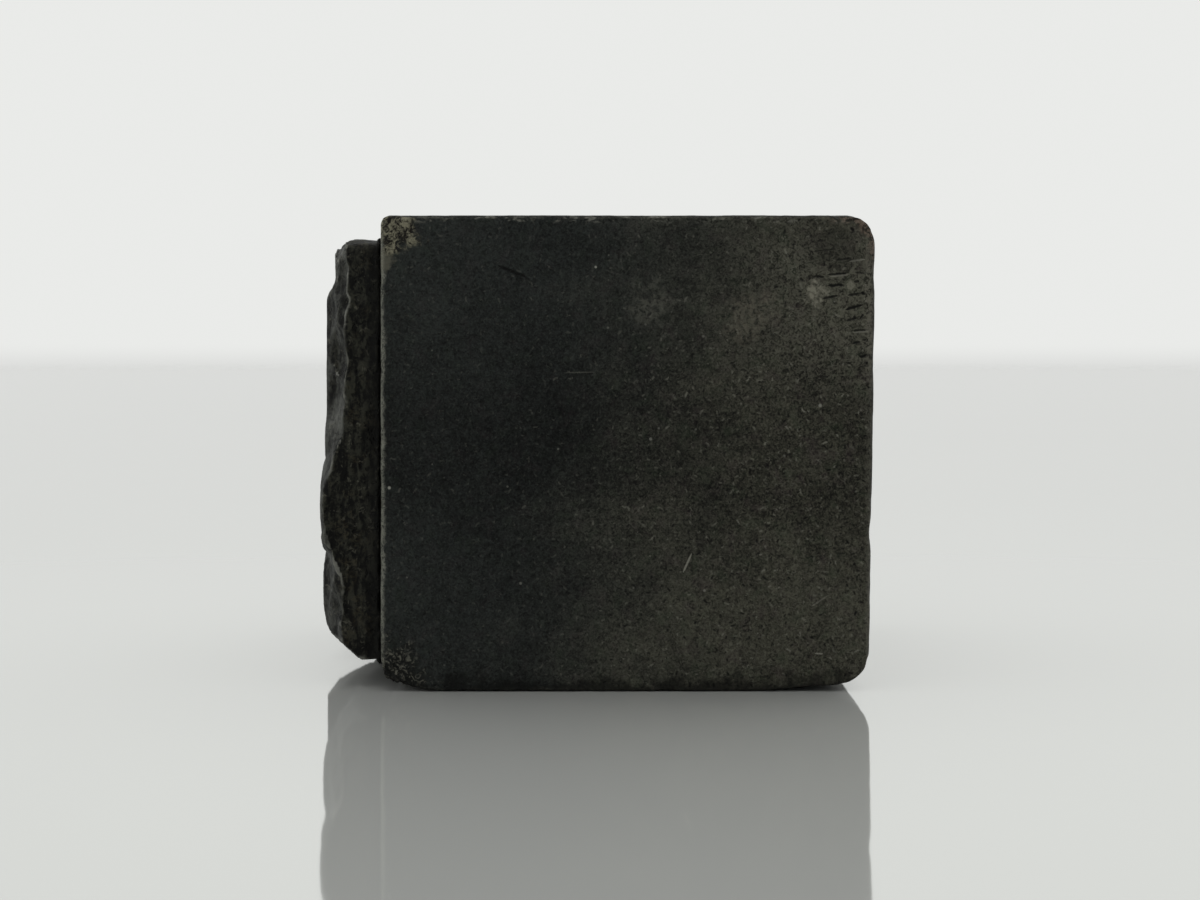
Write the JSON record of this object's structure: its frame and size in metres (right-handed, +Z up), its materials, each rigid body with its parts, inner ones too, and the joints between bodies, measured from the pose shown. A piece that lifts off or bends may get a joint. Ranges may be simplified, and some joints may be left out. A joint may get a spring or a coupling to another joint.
{
  "type": "metal hand stamp",
  "caption": "Square steel hand stamp: a blackened block with a relief-cut flower die brazed and dowelled to one end, struck or pressed from the other end.",
  "frame": {"origin": "below the middle of the overall box, on the surface that the stamp lies on", "axes": "+X from the die towards the struck end, so the die faces -X; +Z up as it lies on one long side; +Y away from the viewer of the picture"},
  "size_m": [0.0242, 0.02, 0.02],
  "materials": {
    "block_steel": "blackened, dull and pitted, blue-black at the die end and brown-grey at the struck end",
    "die_steel": "blackened and hand-cut, with brighter worn facets",
    "braze": "dull, darkened brass brazing metal",
    "dowel_steel": "ground"
  },
  "bodies": {
    "root": {"stamp_block": "block_steel", "rosette_die": "die_steel", "braze_film": "braze", "dowel_pin_front": "dowel_steel", "dowel_pin_back": "dowel_steel"}
  },
  "joints": []
}
